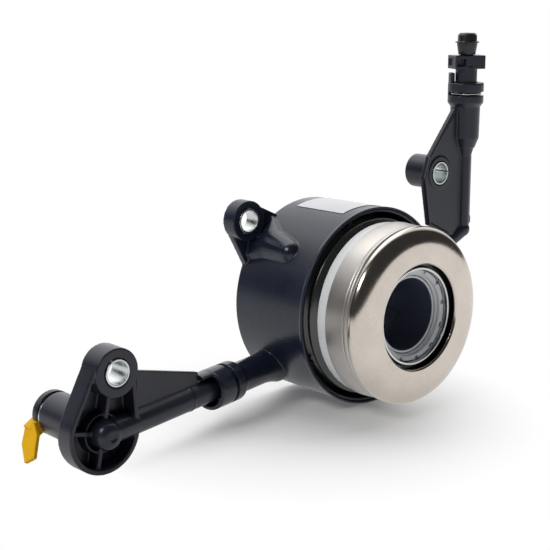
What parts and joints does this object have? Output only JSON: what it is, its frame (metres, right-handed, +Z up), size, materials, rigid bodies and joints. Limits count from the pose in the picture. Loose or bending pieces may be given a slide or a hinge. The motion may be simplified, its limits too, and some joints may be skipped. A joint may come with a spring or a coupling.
{
  "type": "clutch release bearing",
  "caption": "Release bearing on a concentric hydraulic slave cylinder, with bolt ears, a fluid inlet pipe on a bracket and an upright bleed pipe on another.",
  "frame": {"origin": "middle of the bounding box's bottom face", "axes": "-Y along the bearing's axis towards the clutch, +X towards the bleed side, +Z up"},
  "size_m": [0.2277, 0.0675, 0.1473],
  "materials": {
    "housing_plastic": "glass-filled moulded plastic, satin with fine grain",
    "pipe_plastic": "glass-filled moulded plastic, satin",
    "dark_steel": "dark coated steel tube, satin",
    "bush_steel": "bright zinc-plated steel",
    "label_film": "bare white film label",
    "rubber": "black rubber, slightly glossy",
    "spring_steel": "drawn spring wire",
    "piston_plastic": "turned dark plastic",
    "pale_plastic": "near-white moulded plastic",
    "race_steel": "ground and polished bearing steel",
    "retainer_plastic": "light grey moulded plastic",
    "bearing_steel": "pressed steel with turning marks round the axis",
    "cage_plastic": "natural brown nylon",
    "yellow_plastic": "yellow moulded plastic",
    "clip_wire": "bright spring wire"
  },
  "bodies": {
    "housing": {"housing": "housing_plastic", "guide_sleeve": "dark_steel", "ear_bush_upper": "bush_steel", "ear_bush_lower": "bush_steel", "label": "label_film", "inlet_pipe": "pipe_plastic", "inlet_bush": "bush_steel", "inlet_seal": "rubber", "bleed_pipe": "pipe_plastic", "bleed_bush": "bush_steel", "bleed_pipe_seal": "rubber", "preload_spring": "spring_steel", "dust_boot": "rubber"},
    "piston": {"piston": "piston_plastic", "piston_seal": "rubber", "spring_seat": "pale_plastic", "inner_race": "race_steel", "retaining_ring": "retainer_plastic"},
    "bearing_outer": {"bearing_shell": "bearing_steel", "bearing_cap": "bearing_steel", "outer_race": "race_steel", "front_seal": "rubber", "rear_seal": "rubber"},
    "ball_set": {"ball_cage": "cage_plastic", "ball_01": "race_steel", "ball_02": "race_steel", "ball_03": "race_steel", "ball_04": "race_steel", "ball_05": "race_steel", "ball_06": "race_steel", "ball_07": "race_steel", "ball_08": "race_steel", "ball_09": "race_steel", "ball_10": "race_steel", "ball_11": "race_steel", "ball_12": "race_steel", "ball_13": "race_steel", "ball_14": "race_steel"},
    "transport_plug": {"transport_plug": "yellow_plastic"},
    "bleed_valve": {"bleed_valve": "pipe_plastic", "bleed_valve_seal": "rubber"},
    "bleed_cap": {"bleed_cap": "rubber"},
    "inlet_clip": {"inlet_clip": "clip_wire"},
    "connector_clip": {"connector_clip": "clip_wire"},
    "bleed_valve_clip": {"bleed_valve_clip": "clip_wire"},
    "bleed_pipe_clip": {"bleed_pipe_clip": "clip_wire"}
  },
  "joints": [
    {"name": "piston_slide", "type": "slide", "parent": "housing", "child": "piston", "axis": [0, 1, 0], "range_m": [0, 0.01], "stiffness_N_per_m": 2500, "springref_m": -0.03, "deforming": ["preload_spring", "dust_boot"]},
    {"name": "bearing_spin", "type": "hinge", "parent": "piston", "child": "bearing_outer", "pos_m": [0.0318, -0.0251, 0.0405], "axis": [0, 1, 0], "continuous": true},
    {"name": "cage_spin", "type": "hinge", "parent": "piston", "child": "ball_set", "pos_m": [0.0318, -0.0251, 0.0405], "axis": [0, 1, 0], "continuous": true},
    {"name": "plug_pull", "type": "slide", "parent": "housing", "child": "transport_plug", "axis": [0, 1, 0], "range_m": [0, 0.016]},
    {"name": "bleed_valve_slide", "type": "slide", "parent": "housing", "child": "bleed_valve", "axis": [0, 0, 1], "range_m": [0, 0.004]},
    {"name": "cap_pull", "type": "slide", "parent": "bleed_valve", "child": "bleed_cap", "axis": [0, 0, 1], "range_m": [0, 0.008]},
    {"name": "inlet_clip_slide", "type": "slide", "parent": "housing", "child": "inlet_clip", "axis": [0.2039, -0.979, 0.0042], "range_m": [0, 0.002]},
    {"name": "connector_clip_slide", "type": "slide", "parent": "housing", "child": "connector_clip", "axis": [-1, 0, 0], "range_m": [0, 0.002]},
    {"name": "bleed_valve_clip_slide", "type": "slide", "parent": "housing", "child": "bleed_valve_clip", "axis": [0, -1, 0], "range_m": [0, 0.002]},
    {"name": "bleed_pipe_clip_slide", "type": "slide", "parent": "housing", "child": "bleed_pipe_clip", "axis": [-0.1763, -0.9768, -0.1215], "range_m": [0, 0.002]}
  ],
  "couplings": [
    {"joint": "cage_spin", "follows": "bearing_spin", "ratio": 0.5689}
  ]
}
